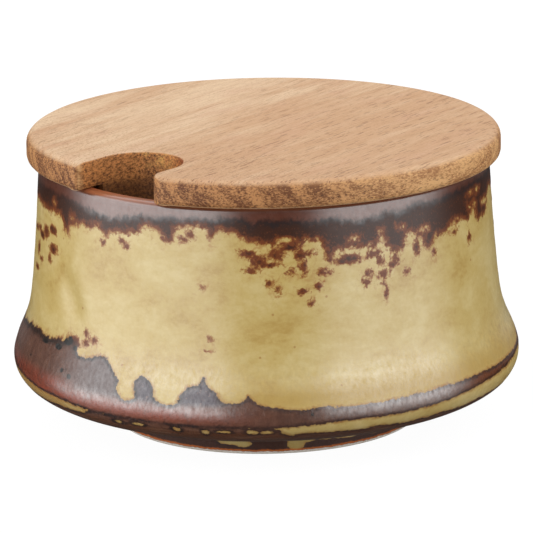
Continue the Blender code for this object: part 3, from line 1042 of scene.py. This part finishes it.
def shaded_notch_wood(s, x, up, figure, fuzz, speckle):
    """The notch's rough wall: mottled, with a golden patch of painted light high up and a ruddy
    patch, and painted shade that darkens it low down.
    """
    blotches = s.noise(2.2, 3.0, 0.6, shift=(2, 2, 9))
    tone = s.total(s.times(fuzz, 2.0), s.times(figure, 0.8), 0.5)
    # painted light: a golden patch high on the wall, where light falls on it
    golden = s.times(s.hump(x, -8, -2.5, 2.5), s.step(61.5, 64.5, up),
                     s.step(-0.12, 0.12, blotches), 0.8)
    ruddy = s.times(s.hump(x, 1, 6, 10), s.step(-0.2, 0.1, blotches), 0.85)
    return s.layered(
        srgb(70, 33, 13),
        (s.step(0.0, 0.9, tone), srgb(206, 138, 76)),
        (golden, srgb(232, 178, 96)),
        (ruddy, srgb(140, 68, 30)),
        (s.times(s.step(0.04, 0.2, speckle), 0.75), srgb(52, 24, 10)),
        # painted shade: the wall darkens low down in the notch
        (s.times(s.step(61.4, 58.6, up), 0.6), srgb(60, 28, 11)))


def shaded_side_wood(s, end_grain):
    """The lid's edge: darker than the top, partly as painted shade and partly as less bleached wood,
    and darker and browner where the grain ends.
    """
    rings = s.noise(1.5, 3.0, 0.6, stretch=(1, 9, 6), turn=(0, math.radians(-38), 0))
    specks = s.noise(0.3, 3.0, 0.7, stretch=(1.7, 3.0, 1.0), shift=(3, 9, 1))
    tone = s.total(s.times(s.noise(5, 3.0, 0.6, shift=(2, 6, 4)), 0.6),
                   s.times(rings, 1.5), s.times(specks, 2.1), 0.5)
    light = s.step(0.2, 0.8, tone)
    ends = s.mix(light, srgb(100, 56, 28), srgb(184, 130, 80))
    long_sides = s.mix(light, srgb(158, 108, 64), srgb(212, 164, 110))
    return s.mix(s.step(0.2, 0.85, end_grain), long_sides, ends)


def pore_cover(s, x, figure, fuzz):
    """Share of each place that pores take up: dots where the grain ends, dashes along it."""
    turn = (0, 0, math.radians(GRAIN_LEAN + 1))
    pores = 0.0
    for size, length, width, shift in ((0.7, 13.0, 0.16, (3, 8, 2)), (0.55, 12.0, 0.15, (9, 1, 5)),
                                       (1.2, 16.0, 0.085, (1, 5, 8))):
        gap = s.cells(size, stretch=(1, length, 1), turn=turn, shift=shift)
        wobbly = s.total(gap, s.times(fuzz, 0.10))
        pores = s.math("MAXIMUM", pores, s.step(width + 0.07, width - 0.02, wobbly))
    crowd = s.total(s.times(s.step(-14, 18, x), 0.4), s.times(figure, -2.0), 0.45)
    return s.times(pores, s.math("MAXIMUM", crowd, 0.2, clamp=True))


def teak():
    s = Shader("oiled_teak")
    end_grain, flat, in_notch = map(s.attribute, ("end_grain", "flat", "in_notch"))
    x, y, up = s.axes()

    def drawn_out(size, length, *texture, thickness=1, **placing):
        """Noise that is so many times longer along the grain than across it."""
        return s.noise(size, *texture, stretch=(1, length, thickness),
                       turn=(0, 0, math.radians(GRAIN_LEAN)), **placing)

    figure = drawn_out(11, 7, 3.0, 0.55, 0.4, thickness=1.5)
    band = drawn_out(3.0, 12, shift=(7, 1, 3))
    fibres = drawn_out(0.42, 16, 3.0, 0.6, shift=(4, 2, 1))
    streak = drawn_out(0.8, 24, 3.0, 0.6, shift=(14, 3, 6))
    pink = drawn_out(7, 3, 2.0, shift=(21, 4, 2))
    fuzz = drawn_out(0.5, 2.2, 2.0, 0.7, shift=(1, 12, 1))
    speckle = drawn_out(0.34, 2.5, 2.0, 0.7, shift=(6, 1, 8))

    # Faces along the grain: darker towards +X, and more dotted beside the notch
    tone = s.total(s.times(figure, 1.5), s.times(band, 1.3), s.times(s.step(-24, 12, x), -0.42),
                   0.60)
    dots = s.times(s.step(0.02, 0.2, speckle), s.blend(s.step(-8, -38, y), 0.42, 0.85))
    face = s.layered(
        srgb(207, 163, 123),
        (s.step(0.0, 1.0, tone), srgb(230, 198, 161)),
        (s.times(s.step(0.02, 0.26, streak), 0.4), srgb(186, 140, 100)),
        (s.times(s.step(0.0, 0.3, pink), 0.4), srgb(208, 160, 128)),
        (s.times(s.step(0.0, 0.3, fibres), 0.55), srgb(178, 130, 92)),
        (s.times(s.step(0.0, -0.32, fibres), 0.30), srgb(240, 214, 182)),
        (dots, srgb(172, 124, 84)))
    pores = pore_cover(s, x, figure, fuzz)
    wood = s.layered(
        shaded_side_wood(s, end_grain),
        (in_notch, shaded_notch_wood(s, x, up, figure, fuzz, speckle)),
        # faces that look up get the top's colour; the edge's darker colours and darker pores are
        # partly painted shade
        (s.step(0.50, 0.94, flat), face),
        (s.times(pores, s.blend(flat, 0.85, 0.65)),
         s.mix(flat, srgb(74, 42, 26), srgb(128, 80, 52))))

    height = s.total(s.times(fibres, 0.5), s.times(fuzz, 0.5), s.times(pores, -0.8))
    s.bumped(height, 0.7, 0.16)
    return s.finished(base_color=wood, roughness=s.total(0.62, s.times(fibres, 0.15)), ior=1.45)


# ---- stage, light and camera
def build_stage():
    """A floor just under the foot, which glows almost white and lights nothing else."""
    reach = 6.0                # metres to each side
    mesh = bpy.data.meshes.new("floor")
    mesh.from_pydata([(-reach, -reach, 0), (reach, -reach, 0), (reach, reach, 0),
                      (-reach, reach, 0)], [], [(0, 1, 2, 3)])
    floor = new_object("floor", mesh)
    floor.location.z = -0.05 * MM
    floor.visible_diffuse = False
    floor.visible_glossy = False
    s = Shader("pale_floor")
    mesh.materials.append(s.finished(
        base_color=(0.08, 0.08, 0.08), roughness=1.0, specular_ior_level=0.0,
        emission_color=(1, 1, 1), emission_strength=0.965))


def build_world():
    """Tall soft lights left and right of the camera, a ring high up that is brighter at the sides,
    and faint light from below and behind.

    Headings are counted as on the bowl, and up is in degrees above the horizon."""
    world = bpy.data.worlds.new("soft_studio")
    bpy.context.scene.world = world
    world.use_nodes = True
    n = Nodes(world.node_tree)
    direction = n.new("SeparateXYZ")
    n.fill(direction, vector=n.new("TexCoord").outputs["Generated"])
    x, y, z = direction.outputs
    heading = n.times(n.math("ARCTAN2", x, n.times(y, -1.0)), 180 / math.pi)
    up = n.times(n.math("ARCSINE", z), 180 / math.pi)

    left = n.times(n.step(-78, -49, heading), n.step(30, 10, heading), 0.93)
    right = n.times(n.step(58, 78, heading), n.step(148, 120, heading), 0.80)
    beside = n.times(n.total(left, right), n.step(-46, -6, up), n.step(60, 30, up), 2.5)
    below = n.times(n.step(-4, -40, up), 0.09)
    sides = n.total(n.times(n.step(106, 128, heading), 1.3),
                    n.times(n.step(-40, -66, heading), 0.68))
    high = n.times(n.math("MAXIMUM", sides, 0.37), n.step(14, 36, up))
    behind = n.total(n.times(n.step(150, 175, heading), 0.10),
                     n.times(n.step(-100, -122, heading), 0.34))
    ambient = n.times(n.total(0.035, behind), n.step(-16, 2, up))

    # The camera sees plain white behind the bowl
    strength = n.total(beside, below, high, ambient)
    seen = n.new("LightPath").outputs["Is Camera Ray"]
    n.fill(n.tree.nodes["Background"], color=(1, 1, 1), strength=n.blend(seen, strength, 1.0))


CAMERA_HEADING = 40.1          # degrees round the bowl
CAMERA_UP = 14.655             # degrees above the horizon
CAMERA_ROLL = 0.84
CAMERA_DISTANCE = 1.078
CAMERA_TARGET = Vector((0, 0, 0.034))
CAMERA_LENS = 323.47
CAMERA_SHIFT = (0.00206, -0.00225)


def build_camera():
    camera = bpy.data.cameras.new("camera")
    camera.lens = CAMERA_LENS
    camera.sensor_width = 36.0
    camera.shift_x, camera.shift_y = CAMERA_SHIFT
    camera.clip_start = 0.05
    camera.clip_end = 20.0
    heading, up = math.radians(CAMERA_HEADING), math.radians(CAMERA_UP)
    back = Vector((math.sin(heading) * math.cos(up), -math.cos(heading) * math.cos(up),
                   math.sin(up)))
    obj = new_object("camera", camera)
    obj.location = CAMERA_TARGET + back * CAMERA_DISTANCE
    facing = (-back).to_track_quat("-Z", "Y")
    obj.rotation_mode = "QUATERNION"
    obj.rotation_quaternion = facing @ Quaternion((0, 0, 1), math.radians(-CAMERA_ROLL))
    bpy.context.scene.camera = obj


build_bowl()
build_lid()
build_stage()
build_world()
build_camera()
bpy.context.scene.view_settings.view_transform = "Standard"
